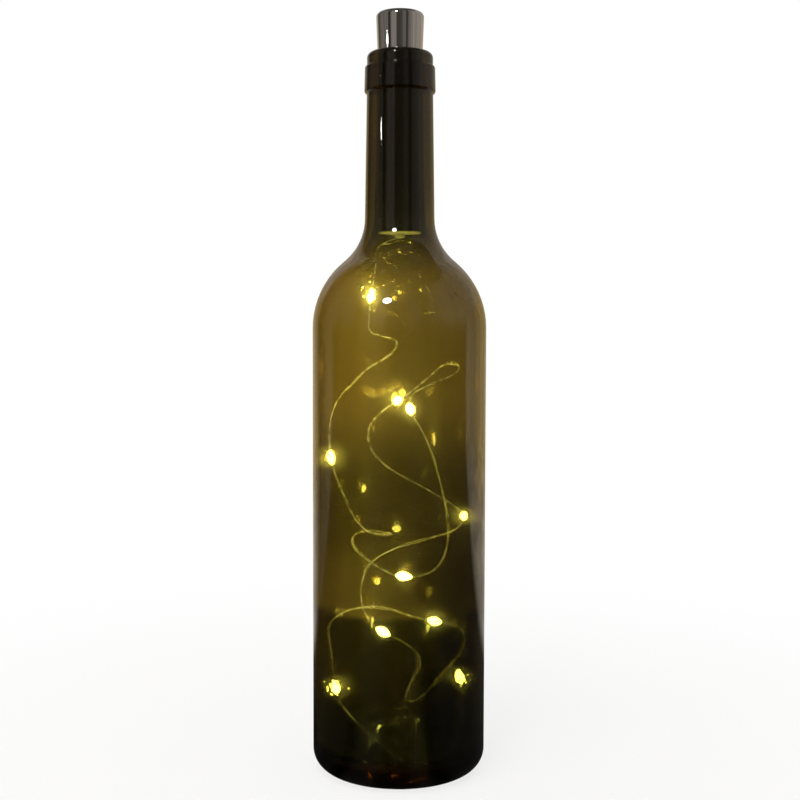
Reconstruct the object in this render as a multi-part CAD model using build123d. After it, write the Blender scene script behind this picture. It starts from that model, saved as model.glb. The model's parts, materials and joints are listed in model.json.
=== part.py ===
from build123d import *
import math
import os

# Wine bottle lit from inside: a stopper with a rechargeable cell and lamp driver sits in the mouth,
# and a string of ten lamp drops on fine wire hangs from it inside the glass.
# Millimetres, +Z up, origin at the centre of the ring that the bottle stands on.

# Bottle body
body_radius = 38.0
glass_wall = 3.3
bottle_height = 314.0
heel_radius = 9.0
shoulder_drop = 119.0
shoulder_radius = 37.3
shoulder_slope = 50.0
neck_fillet_radius = 24.5
neck_low_radius = 15.35
neck_top_radius = 14.4
shoulder_start = bottle_height - shoulder_drop

# Punt in the base
bearing_ring_radius = 26.5
bearing_ring_round = 1.5
punt_height = 22.0
punt_nose_radius = 7.0
punt_nose_round = 13.0
base_thickness = 5.5
floor_thickness = 7.0
floor_inner_round = 8.0
floor_valley_radius = 27.5
floor_valley_round = 4.0

# Finish of the bottle: a lip over a wider ring
lip_radius = 14.3
lip_height = 6.0
lip_round = 2.4
lip_foot_round = 0.3
ring_top_radius = 15.2
ring_low_radius = 15.5
ring_height = 11.6
ring_top_round = 0.7
ring_low_round = 1.6
mouth_radius = 9.65
mouth_round = 1.5
bore_low_radius = 10.3
bore_depth = 52.0

# Stopper: cap
cap_rise = 17.0
cap_sink = 0.8
cap_top_radius = 10.5
cap_top_round = 1.9
cap_foot_radius = 9.72
cap_bore_radius = 8.45
cap_roof = 1.6
cap_bore_round = 1.0
cap_foot_chamfer = 0.25

# Stopper: collar, in the mouth
collar_radius = 9.45
collar_foot_depth = 14.0
collar_bore_radius = 7.0
collar_neck_radius = 8.2
collar_neck_height = 3.4
collar_deck = 1.6
collar_spigot_length = 3.5
collar_edge_chamfer = 0.3
tube_fit = 0.05

# Stopper: rubber rings, two in the mouth and one for the cap
mouth_ring_section = 1.6
mouth_ring_fit = 0.05
mouth_ring_drops = (4.0, 9.0)
cap_ring_section = 1.2
cap_ring_fit = 0.03
ring_groove_play = 0.02

# Stopper: battery tube and end cap
tube_radius = 9.35
tube_wall = 1.1
stopper_depth = 78.3
end_cap_thickness = 2.5
end_cap_edge_round = 0.7
end_cap_spigot_length = 5.0
end_cap_spigot_wall = 1.2
lead_slot_width = 1.2

# Wire bushing and clamp bead at the bottom of the stopper
bushing_radius = 2.2
bushing_drop = 2.0
bushing_round = 0.6
bushing_stem_radius = 1.6
bushing_bore_radius = 0.55
clamp_radius = 1.9
clamp_height = 2.4
clamp_round = 0.7
clamp_play = 0.1

# Cell
pad_radius = 6.8
pad_thickness = 1.5
pad_clearance = 0.3
cell_radius = 7.0
cell_headroom = 2.25
cell_edge_round = 0.8
cell_bead_depth = 0.45
cell_bead_drop = 3.2
cell_sleeve_wall = 0.15
cell_sleeve_fold = 1.8
cell_washer_thickness = 0.2
cell_washer_radius = 5.1
cell_button_radius = 2.7
cell_button_height = 0.9
cell_button_round = 0.3

# Strips from the cell to the board
strip_width = 3.0
strip_thickness = 0.15
strip_clearance = 0.12

# Board and what is on it
board_width = 12.4
board_thickness = 1.0
board_height = 11.0
board_drop_below_deck = 3.6
chip_width = 4.9
chip_height = 3.9
chip_thickness = 1.5
chip_lead_count = 4
chip_lead_width = 0.4
chip_lead_reach = 0.9
chip_lead_pitch = 1.27
chip_lead_thickness = 0.2
chip_lead_overlap = 0.8
chip_drop = 6.2
small_part_width = 1.6
small_part_height = 0.8
small_part_thickness = 0.5
small_part_pitch = 2.6
resistor_count = 4
resistor_drop = 2.2
capacitor_drop = 10.0

# Plug under the cap
plug_width = 12.0
plug_thickness = 4.5
plug_shell_wall = 0.3
plug_reach = 12.4
plug_root = 3.4
plug_slot_play = 0.1
plug_window_width = 2.5
plug_window_height = 2.0
plug_window_pitch = 5.2
plug_window_drop = 4.6
tongue_width = 10.7
tongue_thickness = 1.84
tongue_end_drop = 0.4
contact_count = 4
contact_width = 1.0
contact_height = 7.4
contact_thickness = 0.2
contact_pitch = 2.33
contact_end_drop = 1.2

# Push switch and its button
switch_width = 4.4
switch_height = 2.6
switch_thickness = 3.4
button_radius = 1.4
button_offset = 5.3
button_rise = 0.9
button_flange_radius = 1.6
button_flange_thickness = 0.8
button_play = 0.1
button_stop_gap = 0.05
button_stroke = 0.4
button_foot_gap = 0.55
button_top_round = 0.3

# Leads inside the tube
lead_diameter = 0.6
lead_bend = 0.8
lead_inner_offset = 0.7
lead_board_offset = 5.0
lead_end_gap = 0.1

# Lamp drops: clear resin round a lamp chip on the wire
drop_half_length = 3.2
drop_radius = 1.9
drop_end_radius = 0.55
drop_end_length = 0.3
lamp_chip_length = 1.6
lamp_chip_width = 0.8
lamp_chip_thickness = 0.7

# String: two fine strands that lie together, drawn as one tube
string_diameter = 0.8
string_end_gap = 0.15

# Places of the ten lamp drops and the route's points between them, chosen by hand
lamp_places = [
    (-12.5, -6, 209),
    (-30, -5, 138.5),
    (2, -26, 90.5),
    (4.5, -14, 160.5),
    (-1, -3, 163.5),
    (28.5, -2, 112.5),
    (-6.5, -23, 66),
    (15.5, -6, 66.5),
    (-27, -11, 38.5),
    (26, -10, 43),
]
string_ways = [
    [(0, 0, 228), (-6.5, 2, 225), (-11, 1.5, 218.5)],
    [(-14, -11.5, 202), (-12.5, -14, 195), (-8, -8.5, 190), (-6.5, -1, 185), (-13, 0, 180),
     (-19, -8, 175.5), (-24, -14, 170), (-28, -15.5, 162.5), (-30, -12, 155), (-30.5, -8.5, 147)],
    [(-27.5, -7, 130), (-23, -12, 122), (-17.5, -15.5, 114), (-12, -11.5, 107.5), (-9.5, -3, 105),
     (-14.5, 3.5, 106.5), (-20.5, 0, 105), (-20.5, -9, 100.5), (-14, -17, 96.5), (-6, -23.5, 92)],
    [(10, -26, 90.5), (17, -21, 93.5), (20.5, -14.5, 100.5), (21.5, -8, 109.5), (20.5, -1.5, 120),
     (18, 3, 132), (13, 0, 144), (8, -8.5, 153.5)],
    [(4.5, -19.5, 167), (11.5, -24, 171), (21, -18.5, 174), (26.5, -6, 178), (23.5, 8.5, 180.5),
     (14.5, 17, 174.5), (6, 9, 167)],
    [(-7.5, -13.5, 159.5), (-13, -21.5, 153.5), (-12.5, -26.5, 145), (-6, -28.5, 137.5), (3.5, -28, 132),
     (13.5, -23, 126), (23, -13.5, 119)],
    [(28, 9.5, 105.5), (18, 17, 100), (6.5, 19, 97), (-4.5, 16, 94), (-12.5, 8, 90.5),
     (-16.5, -3, 84.5), (-16.5, -13, 76.5), (-12.5, -19, 70)],
    [(0.5, -25.5, 63.5), (7, -24, 58), (9, -18.5, 50.5), (6, -14, 43), (3, -18, 36.5), (6, -26, 36),
     (11.5, -29.5, 42), (18, -26, 48.5), (24.5, -19, 54), (29, -10.5, 59), (27.5, -3, 64)],
    [(6.5, -3.5, 67.5), (-3, 0, 70.5), (-13, 1, 71.5), (-23, -3, 71), (-31, -7, 66.5),
     (-33, 0, 59), (-31.5, 3, 50), (-28.5, -4.5, 43.5)],
    [(-24.5, -17, 33.5), (-19, -23, 28), (-11, -27, 22), (-2, -28.5, 14), (7, -28, 9.5),
     (16, -25, 9.5), (23, -19, 15), (27.5, -12, 24), (28, -8, 34)],
]
# Share of the shorter run beside a corner that its arc takes up
run_share = 0.45

# Lamps that ride up with the stopper each have their own body
riding_lamps = 2

cut_overrun = 1.0


# Profiles in the XZ plane
def rounded_outline(corners):
    """Closed face from (radius, height, rounding) corners, taken in order."""
    edges = []
    arc_ends = []
    for index, (radius, height, rounding) in enumerate(corners):
        here = Vector(radius, 0, height)
        before_radius, before_height, _ = corners[index - 1]
        after_radius, after_height, _ = corners[(index + 1) % len(corners)]
        to_before = (Vector(before_radius, 0, before_height) - here).normalized()
        to_after = (Vector(after_radius, 0, after_height) - here).normalized()
        if rounding == 0:
            arc_ends.append((here, here))
            continue
        half_angle = math.radians(to_before.get_angle(to_after)) / 2
        reach = rounding / math.tan(half_angle)
        inset = rounding / math.sin(half_angle) - rounding
        arc_start = here + to_before * reach
        arc_end = here + to_after * reach
        arc_middle = here + (to_before + to_after).normalized() * inset
        edges.append(ThreePointArc(arc_start, arc_middle, arc_end))
        arc_ends.append((arc_start, arc_end))
    for index, (_, arc_end) in enumerate(arc_ends):
        next_start, _ = arc_ends[(index + 1) % len(arc_ends)]
        edges.append(Line(arc_end, next_start))
    return Face(Wire(edges))


def turned(corners):
    """Solid of revolution about Z from rounded corners."""
    return revolve(rounded_outline(corners), axis=Axis.Z)


def tube_between(outer_radius, inner_radius, low, high):
    """Plain ring from one height to another."""
    return turned([
        (inner_radius, low, 0),
        (outer_radius, low, 0),
        (outer_radius, high, 0),
        (inner_radius, high, 0),
    ])


def rod_between(radius, low, high):
    """Plain round bar on the Z axis from one height to another."""
    return Pos(0, 0, low) * Cylinder(radius, high - low, align=(Align.CENTER, Align.CENTER, Align.MIN))


def block(width, depth, height, low=0):
    """Block centred on the Z axis, standing at a height."""
    return Pos(0, 0, low) * Box(width, depth, height, align=(Align.CENTER, Align.CENTER, Align.MIN))


# Bottle
def bottle():
    half_slope = math.radians(shoulder_slope / 2)
    shoulder_corner = shoulder_start + shoulder_radius * math.tan(half_slope)
    slope_run = (body_radius - neck_low_radius) / math.tan(math.radians(shoulder_slope))
    neck_corner = shoulder_corner + slope_run
    inner_step = glass_wall * math.tan(half_slope)
    inner_radius = body_radius - glass_wall
    inner_neck_radius = neck_low_radius - glass_wall
    ring_top = bottle_height - lip_height
    ring_foot = ring_top - ring_height
    punt_slope = math.atan2(punt_height, bearing_ring_radius - punt_nose_radius)
    nose_shift = base_thickness * math.tan(punt_slope / 2)
    outside = [
        (0, punt_height, 0),
        (punt_nose_radius, punt_height, punt_nose_round),
        (bearing_ring_radius, 0, bearing_ring_round),
        (body_radius, 0, heel_radius),
        (body_radius, shoulder_corner, shoulder_radius),
        (neck_low_radius, neck_corner, neck_fillet_radius),
        (neck_top_radius, ring_foot, 0),
        (ring_low_radius, ring_foot, ring_low_round - lip_foot_round),
        (ring_top_radius, ring_top, ring_top_round),
        (lip_radius, ring_top, lip_foot_round),
        (lip_radius, bottle_height, lip_round),
    ]
    inside = [
        (mouth_radius, bottle_height, mouth_round),
        (bore_low_radius, bottle_height - bore_depth, 0),
        (inner_neck_radius, neck_corner - inner_step, neck_fillet_radius + glass_wall),
        (inner_radius, shoulder_corner - inner_step, shoulder_radius - glass_wall),
        (inner_radius, floor_thickness, floor_inner_round),
        (floor_valley_radius, floor_thickness, floor_valley_round),
        (punt_nose_radius + nose_shift, punt_height + base_thickness, punt_nose_round),
        (0, punt_height + base_thickness, 0),
    ]
    return turned(outside + inside)


# Heights in the stopper
cap_foot = bottle_height - cap_sink
cap_top = bottle_height + cap_rise
collar_foot = bottle_height - collar_foot_depth
deck_underside = cap_foot - collar_deck
tube_inner_radius = tube_radius - tube_wall
end_face = bottle_height - stopper_depth
end_cap_top = end_face + end_cap_thickness
spigot_radius = tube_inner_radius - tube_fit
end_spigot_top = end_cap_top + end_cap_spigot_length
pad_foot = end_spigot_top + pad_clearance
cell_foot = pad_foot + pad_thickness + strip_thickness
board_top = deck_underside - board_drop_below_deck
board_foot = board_top - board_height
cell_top = board_foot - cell_headroom
cell_can_top = cell_top - cell_button_height - cell_washer_thickness


# Stopper: cap and collar
def cap():
    return turned([
        (0, cap_top, 0),
        (cap_top_radius, cap_top, cap_top_round),
        (cap_foot_radius, cap_foot, cap_foot_chamfer),
        (cap_bore_radius, cap_foot, cap_foot_chamfer),
        (cap_bore_radius, cap_top - cap_roof, cap_bore_round),
        (0, cap_top - cap_roof, 0),
    ])


def ring_groove(outer_radius, section, middle):
    """Ring that cuts a groove for a rubber ring, from its floor out past the wall."""
    floor_radius = outer_radius - section - ring_groove_play
    half_width = section / 2 + ring_groove_play
    return tube_between(outer_radius + cut_overrun, floor_radius, middle - half_width, middle + half_width)


def rubber_ring(outer_radius, section, middle):
    centre_radius = outer_radius - section / 2
    circle = Plane.XZ * Pos(centre_radius, middle) * Circle(section / 2)
    return revolve(circle, axis=Axis.Z)


def mouth_ring_heights():
    return [cap_foot - drop for drop in mouth_ring_drops]


mouth_ring_radius = mouth_radius - mouth_ring_fit
cap_ring_radius = cap_bore_radius - cap_ring_fit
cap_ring_height = cap_foot + collar_neck_height / 2


def collar():
    neck_top = cap_foot + collar_neck_height
    body = turned([
        (collar_bore_radius, collar_foot - collar_spigot_length, 0),
        (spigot_radius, collar_foot - collar_spigot_length, 0),
        (spigot_radius, collar_foot, 0),
        (collar_radius, collar_foot, 0),
        (collar_radius, cap_foot - button_stop_gap, 0),
        (collar_neck_radius, cap_foot - button_stop_gap, 0),
        (collar_neck_radius, neck_top, 0),
        (collar_bore_radius, neck_top, 0),
    ])
    body = chamfer(body.edges().group_by(Axis.Z)[-1].sort_by(SortBy.RADIUS)[-1:], collar_edge_chamfer)
    body += rod_between(collar_bore_radius, deck_underside, cap_foot)
    body -= block(plug_width + 2 * plug_slot_play, plug_thickness + 2 * plug_slot_play,
                  collar_deck + 2 * cut_overrun, deck_underside - cut_overrun)
    button_hole = rod_between(
        button_radius + button_play, deck_underside - cut_overrun, cap_foot + cut_overrun)
    body -= Pos(0, button_offset, 0) * button_hole
    for height in mouth_ring_heights():
        body -= ring_groove(mouth_ring_radius, mouth_ring_section, height)
    body -= ring_groove(cap_ring_radius, cap_ring_section, cap_ring_height)
    return body


def mouth_rings():
    return [rubber_ring(mouth_ring_radius, mouth_ring_section, height) for height in mouth_ring_heights()]


def cap_ring():
    return rubber_ring(cap_ring_radius, cap_ring_section, cap_ring_height)


# Stopper: tube and end
def battery_tube():
    return tube_between(tube_radius, tube_inner_radius, end_cap_top, collar_foot)


def end_cap():
    spigot_bore = spigot_radius - end_cap_spigot_wall
    body = turned([
        (bushing_stem_radius, end_face, 0),
        (tube_radius, end_face, end_cap_edge_round),
        (tube_radius, end_cap_top, 0),
        (spigot_radius, end_cap_top, 0),
        (spigot_radius, end_spigot_top, 0),
        (spigot_bore, end_spigot_top, 0),
        (spigot_bore, end_cap_top, 0),
        (bushing_stem_radius, end_cap_top, 0),
    ])
    slot_height = end_cap_spigot_length + cut_overrun
    body -= block(2 * tube_radius, lead_slot_width, slot_height, end_cap_top)
    return body


def wire_bushing():
    return turned([
        (bushing_bore_radius, end_face - bushing_drop, 0),
        (bushing_radius, end_face - bushing_drop, bushing_round),
        (bushing_radius, end_face, 0),
        (bushing_stem_radius, end_face, 0),
        (bushing_stem_radius, end_cap_top, 0),
        (bushing_bore_radius, end_cap_top, 0),
    ])


clamp_foot = end_cap_top + clamp_play
clamp_top = clamp_foot + clamp_height


def wire_clamp():
    return turned([
        (0, clamp_foot, 0),
        (clamp_radius, clamp_foot, clamp_round),
        (clamp_radius, clamp_top, clamp_round),
        (0, clamp_top, 0),
    ])


# Cell
def cell_pad():
    return rod_between(pad_radius, pad_foot, pad_foot + pad_thickness)


def cell_can():
    bead_middle = cell_can_top - cell_bead_drop
    body = turned([
        (0, cell_foot, 0),
        (cell_radius, cell_foot, cell_edge_round),
        (cell_radius, cell_can_top, cell_edge_round),
        (0, cell_can_top, 0),
    ])
    bead = Plane.XZ * Pos(cell_radius + cell_bead_depth, bead_middle) * Circle(2 * cell_bead_depth)
    return body - revolve(bead, axis=Axis.Z)


def cell_sleeve():
    """Shrunk sleeve: a thin tube that folds over the top edge of the can."""
    outer_radius = cell_radius + cell_sleeve_wall
    fold_radius = cell_radius - cell_sleeve_fold
    fold_top = cell_can_top + cell_sleeve_wall
    return turned([
        (cell_radius, cell_foot + cell_edge_round, 0),
        (outer_radius, cell_foot + cell_edge_round, 0),
        (outer_radius, fold_top, cell_edge_round + cell_sleeve_wall),
        (fold_radius, fold_top, 0),
        (fold_radius, cell_can_top, 0),
        (cell_radius, cell_can_top, cell_edge_round),
    ])


def cell_washer():
    washer_top = cell_can_top + cell_washer_thickness
    return tube_between(cell_washer_radius, cell_button_radius, cell_can_top, washer_top)


def cell_button():
    return turned([
        (0, cell_can_top, 0),
        (cell_button_radius, cell_can_top, 0),
        (cell_button_radius, cell_top, cell_button_round),
        (0, cell_top, 0),
    ])


# Strips and leads between the cell and the board
def positive_strip():
    """Strip that lies on the cell's button and rises to the board's front face."""
    strip_front = board_thickness / 2 + strip_thickness
    lying = Pos(0, -strip_front / 2, 0) * block(strip_width, strip_front, strip_thickness, cell_top)
    rise = board_foot + small_part_height - cell_top
    standing_middle = -strip_front + strip_thickness / 2
    standing = Pos(0, standing_middle, 0) * block(strip_width, strip_thickness, rise, cell_top)
    return lying + standing


def negative_strip():
    """Strip under the can, up its back between sleeve and tube, and in to the board's back face."""
    gap_radius = cell_radius + cell_sleeve_wall + strip_clearance
    under_foot = cell_foot - strip_thickness
    turn_height = cell_top + 2 * strip_clearance
    side_height = turn_height + strip_thickness - under_foot
    under = Pos(0, gap_radius / 2, 0) * block(strip_width, gap_radius, strip_thickness, under_foot)
    side_middle = gap_radius + strip_thickness / 2
    side = Pos(0, side_middle, 0) * block(strip_width, strip_thickness, side_height, under_foot)
    reach = gap_radius - board_thickness / 2
    across_middle = board_thickness / 2 + reach / 2
    across = Pos(0, across_middle, 0) * block(strip_width, reach, strip_thickness, turn_height)
    rise = board_foot + small_part_height - turn_height
    board_face = board_thickness / 2 + strip_thickness / 2
    standing = Pos(0, board_face, 0) * block(strip_width, strip_thickness, rise, turn_height)
    return under + side + across + standing


def inner_lead(side):
    """Lead from the clamp bead out to the tube wall, up past the cell and in to the board."""
    outer_reach = (cell_radius + cell_sleeve_wall + tube_inner_radius) / 2
    low = end_spigot_top - lead_diameter - lead_bend / 2
    high = cell_top + lead_diameter
    path = FilletPolyline(
        (side * lead_inner_offset, 0, clamp_top + lead_end_gap),
        (side * lead_inner_offset, 0, low),
        (side * outer_reach, 0, low),
        (side * outer_reach, 0, high),
        (side * lead_board_offset, 0, high),
        (side * lead_board_offset, 0, board_foot - lead_end_gap),
        radius=[lead_bend, lead_bend, lead_bend, lead_bend],
    )
    return sweep_round(path, lead_diameter)


def inner_leads():
    return [inner_lead(side) for side in (-1, 1)]


# Board and parts on it
def circuit_board():
    return block(board_width, board_thickness, board_height, board_foot)


def charge_chip():
    """Moulded chip with a row of flat leads above and below, on the board's front face."""
    middle = board_top - chip_drop
    front = -board_thickness / 2 - chip_lead_thickness
    body = Pos(0, front - chip_thickness / 2, middle) * Box(chip_width, chip_thickness, chip_height)
    for row in range(chip_lead_count):
        across = (row - (chip_lead_count - 1) / 2) * chip_lead_pitch
        for side in (-1, 1):
            foot_middle = middle + side * (chip_height + chip_lead_reach) / 2
            foot = Pos(across, front + chip_lead_thickness / 2, foot_middle) * Box(
                chip_lead_width, chip_lead_thickness, chip_lead_reach + chip_lead_overlap)
            body += foot
    return body


def board_row(drop, count):
    """Row of small parts on the board's front face."""
    front = -board_thickness / 2 - small_part_thickness / 2
    parts = []
    for index in range(count):
        across = (index - (count - 1) / 2) * small_part_pitch
        place = Pos(across, front, board_top - drop)
        parts.append(place * Box(small_part_width, small_part_thickness, small_part_height))
    return parts


def board_resistors():
    return board_row(resistor_drop, resistor_count)


def board_capacitors():
    across = strip_width / 2 + small_part_width
    front = -board_thickness / 2 - small_part_thickness / 2
    parts = []
    for side in (-1, 1):
        place = Pos(side * across, front, board_top - capacitor_drop)
        parts.append(place * Box(small_part_width, small_part_thickness, small_part_height))
    return parts


# Plug under the cap
plug_foot = deck_underside - plug_root
plug_top = cap_foot + plug_reach


def plug_shell():
    """Folded metal shell with two latch windows in each wide face."""
    height = plug_top - plug_foot
    shell = block(plug_width, plug_thickness, height, plug_foot)
    shell = fillet(shell.edges().filter_by(Axis.Z), 2 * plug_shell_wall)
    hollow = block(plug_width - 2 * plug_shell_wall, plug_thickness - 2 * plug_shell_wall, height, plug_foot)
    hollow = fillet(hollow.edges().filter_by(Axis.Z), plug_shell_wall)
    shell -= hollow
    window_foot = plug_top - plug_window_drop - plug_window_height
    for side in (-1, 1):
        window = block(plug_window_width, plug_thickness + cut_overrun, plug_window_height, window_foot)
        shell -= Pos(side * plug_window_pitch / 2, 0, 0) * window
    return shell


def plug_tongue():
    height = plug_top - tongue_end_drop - plug_foot
    offset = plug_thickness / 2 - plug_shell_wall - tongue_thickness / 2
    return Pos(0, offset, 0) * block(tongue_width, tongue_thickness, height, plug_foot)


def plug_contacts():
    face = plug_thickness / 2 - plug_shell_wall - tongue_thickness
    foot = plug_top - tongue_end_drop - contact_end_drop - contact_height
    contacts = []
    for index in range(contact_count):
        across = (index - (contact_count - 1) / 2) * contact_pitch
        place = Pos(across, face - contact_thickness / 2, 0)
        contacts.append(place * block(contact_width, contact_thickness, contact_height, foot))
    return contacts


# Push switch on the back of the board, and its button
def switch_base():
    front = button_offset - switch_thickness / 2
    foot = board_top - switch_height
    base = Pos(0, button_offset, 0) * block(switch_width, switch_thickness, switch_height, foot)
    bracket_reach = front - board_thickness / 2
    bracket = Pos(0, board_thickness / 2 + bracket_reach / 2, 0) * block(
        switch_width, bracket_reach, switch_height / 2, foot)
    inside_bore = rod_between(collar_bore_radius - button_play, foot - cut_overrun, board_top + cut_overrun)
    return (base + bracket) & inside_bore


def switch_button():
    flange_top = deck_underside - button_stop_gap
    stem_top = cap_foot + button_rise
    stem_foot = board_top + button_foot_gap
    stem = turned([
        (0, stem_foot, 0),
        (button_radius, stem_foot, 0),
        (button_radius, flange_top - button_flange_thickness, 0),
        (button_flange_radius, flange_top - button_flange_thickness, 0),
        (button_flange_radius, flange_top, 0),
        (button_radius, flange_top, 0),
        (button_radius, stem_top, button_top_round),
        (0, stem_top, 0),
    ])
    return Pos(0, button_offset, 0) * stem


# String of lamps
def sweep_round(path, diameter):
    """Round bar along a path of straight runs and tangent arcs."""
    section = Plane(origin=path @ 0, z_dir=path % 0) * Circle(diameter / 2)
    return sweep(section, path=path)


def corner_radii(points):
    """Largest arc at each corner that keeps to its share of the shorter run beside it."""
    radii = []
    for before, here, after in zip(points[:-2], points[1:-1], points[2:]):
        run_in = here - before
        run_out = after - here
        half_turn = math.radians(run_in.get_angle(run_out)) / 2
        radii.append(run_share * min(run_in.length, run_out.length) / math.tan(half_turn))
    return radii


def lamp_axis(index):
    """Direction of the wire through a lamp drop, from the route's points on both sides."""
    before = Vector(*string_ways[index][-1])
    if index + 1 < len(string_ways):
        after = Vector(*string_ways[index + 1][0])
    else:
        after = Vector(*lamp_places[index]) * 2 - before
    return (after - before).normalized()


def stretch_points(index):
    """Points of one stretch of wire, from the drop or the bushing above it to its own drop."""
    gap = drop_half_length + string_end_gap
    if index == 0:
        start = Vector(0, 0, end_face - bushing_drop + string_diameter / 2)
    else:
        start = Vector(*lamp_places[index - 1]) + lamp_axis(index - 1) * gap
    end = Vector(*lamp_places[index]) - lamp_axis(index) * gap
    return [start] + [Vector(*point) for point in string_ways[index]] + [end]


def string_wire(index):
    points = stretch_points(index)
    radii = corner_radii(points)
    path = FilletPolyline(*points, radius=radii)
    wire = sweep_round(path, string_diameter)
    section_area = math.pi * (string_diameter / 2) ** 2
    volume_share = wire.volume / (section_area * path.length)
    print("string_wire", index + 1, "length", round(path.length, 1), "least radius", round(min(radii), 1))
    print("  volume over section times length", round(volume_share, 4))
    print("  radii", [round(radius, 1) for radius in radii])
    return wire


def lamp_plane(index):
    return Plane(origin=lamp_places[index], z_dir=lamp_axis(index))


def lamp_chip(index):
    return lamp_plane(index) * Box(lamp_chip_width, lamp_chip_thickness, lamp_chip_length)


def lamp_drop(index):
    """Drop of resin: a round belly that narrows in cones to a short neck at each end, round its chip."""
    shoulder = drop_half_length - drop_end_length
    shoulder_angle = math.atan2(shoulder, drop_end_radius)
    belly_angle = shoulder_angle - math.acos(drop_radius / math.hypot(shoulder, drop_end_radius))
    belly_end = drop_radius * math.cos(belly_angle)
    belly_height = drop_radius * math.sin(belly_angle)
    with BuildSketch(Plane.XZ) as half_section:
        with BuildLine():
            Line((0, -drop_half_length), (drop_end_radius, -drop_half_length))
            Line((drop_end_radius, -drop_half_length), (drop_end_radius, -shoulder))
            Line((drop_end_radius, -shoulder), (belly_end, -belly_height))
            ThreePointArc((belly_end, -belly_height), (drop_radius, 0), (belly_end, belly_height))
            Line((belly_end, belly_height), (drop_end_radius, shoulder))
            Line((drop_end_radius, shoulder), (drop_end_radius, drop_half_length))
            Line((drop_end_radius, drop_half_length), (0, drop_half_length))
            Line((0, drop_half_length), (0, -drop_half_length))
        make_face()
    bead = revolve(half_section.sketch, axis=Axis.Z)
    return lamp_plane(index) * bead - lamp_chip(index)


# Every piece under its node's name
def pieces():
    parts = {
        "bottle": [bottle()],
        "cap": [cap()],
        "cap_ring": [cap_ring()],
        "collar": [collar()],
        "mouth_rings": mouth_rings(),
        "battery_tube": [battery_tube()],
        "end_cap": [end_cap()],
        "wire_bushing": [wire_bushing()],
        "wire_clamp": [wire_clamp()],
        "cell_pad": [cell_pad()],
        "cell_can": [cell_can()],
        "cell_sleeve": [cell_sleeve()],
        "cell_washer": [cell_washer()],
        "cell_button": [cell_button()],
        "positive_strip": [positive_strip()],
        "negative_strip": [negative_strip()],
        "inner_leads": inner_leads(),
        "circuit_board": [circuit_board()],
        "charge_chip": [charge_chip()],
        "board_resistors": board_resistors(),
        "board_capacitors": board_capacitors(),
        "plug_shell": [plug_shell()],
        "plug_tongue": [plug_tongue()],
        "plug_contacts": plug_contacts(),
        "switch_base": [switch_base()],
        "switch_button": [switch_button()],
        "lamp_chips_lower": [lamp_chip(index) for index in range(riding_lamps, len(lamp_places))],
    }
    for index in range(riding_lamps):
        parts[f"lamp_chip_{index + 1}"] = [lamp_chip(index)]
    for index in range(len(lamp_places)):
        parts[f"lamp_drop_{index + 1}"] = [lamp_drop(index)]
        parts[f"string_wire_{index + 1}"] = [string_wire(index)]
    return parts


os.makedirs("parts", exist_ok=True)
for name, shapes in pieces().items():
    export_step(Compound([shape.solid() for shape in shapes]), f"parts/{name}.step")
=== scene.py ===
import json
import math
import random

import bpy
from mathutils import Matrix, Vector, noise


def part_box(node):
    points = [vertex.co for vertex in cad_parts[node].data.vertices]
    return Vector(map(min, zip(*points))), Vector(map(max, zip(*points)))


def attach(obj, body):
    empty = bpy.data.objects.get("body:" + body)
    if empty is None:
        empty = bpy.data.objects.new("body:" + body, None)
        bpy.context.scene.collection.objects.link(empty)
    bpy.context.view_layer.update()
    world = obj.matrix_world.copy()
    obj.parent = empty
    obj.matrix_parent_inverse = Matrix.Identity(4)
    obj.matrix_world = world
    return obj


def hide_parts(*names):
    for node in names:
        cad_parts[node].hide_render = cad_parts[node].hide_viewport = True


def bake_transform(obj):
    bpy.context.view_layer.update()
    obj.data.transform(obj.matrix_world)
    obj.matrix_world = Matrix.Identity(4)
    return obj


# Wine bottle lit from inside by ten lamp drops on fine wire that hang from a stopper light.
# Metres, +Z up, origin at the middle of the ring that the bottle stands on.

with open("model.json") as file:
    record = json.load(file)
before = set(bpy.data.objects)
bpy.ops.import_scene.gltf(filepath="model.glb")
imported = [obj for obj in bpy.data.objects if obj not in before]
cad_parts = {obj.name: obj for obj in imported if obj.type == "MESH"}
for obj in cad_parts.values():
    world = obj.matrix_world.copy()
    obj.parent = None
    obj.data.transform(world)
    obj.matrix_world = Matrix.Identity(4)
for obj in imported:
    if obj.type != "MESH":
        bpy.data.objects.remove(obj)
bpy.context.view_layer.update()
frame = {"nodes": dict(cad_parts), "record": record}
mm = 0.001

# Bottle, as in the frame
_, bottle_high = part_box("bottle")
body_radius = bottle_high.x
bottle_height = bottle_high.z
glass_wall = 3.3 * mm
heel_radius = 9.0 * mm
shoulder_drop = 119.0 * mm
shoulder_radius = 37.3 * mm
shoulder_slope = 50.0
neck_fillet_radius = 24.5 * mm
neck_low_radius = 15.35 * mm
neck_top_radius = 14.4 * mm
bearing_ring_radius = 26.5 * mm
bearing_ring_round = 1.5 * mm
punt_height = 22.0 * mm
punt_nose_radius = 7.0 * mm
punt_nose_round = 13.0 * mm
base_thickness = 5.5 * mm
floor_thickness = 7.0 * mm
floor_inner_round = 8.0 * mm
floor_valley_radius = 27.5 * mm
floor_valley_round = 4.0 * mm
lip_radius = 14.3 * mm
lip_height = 6.0 * mm
lip_round = 2.4 * mm
lip_foot_round = 0.3 * mm
ring_top_radius = 15.2 * mm
ring_low_radius = 15.5 * mm
ring_height = 11.6 * mm
ring_top_round = 0.7 * mm
ring_low_round = 1.3 * mm
mouth_radius = 9.65 * mm
mouth_round = 1.5 * mm
bore_low_radius = 10.3 * mm
bore_depth = 52.0 * mm
bottle_sides = 192
glass_step = 3.0 * mm
arc_step = math.radians(5)
wave_depth = 0.30 * mm
wave_depth_base = 0.60 * mm
wave_base_height = 45.0 * mm
wave_length = 13.0 * mm
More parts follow.
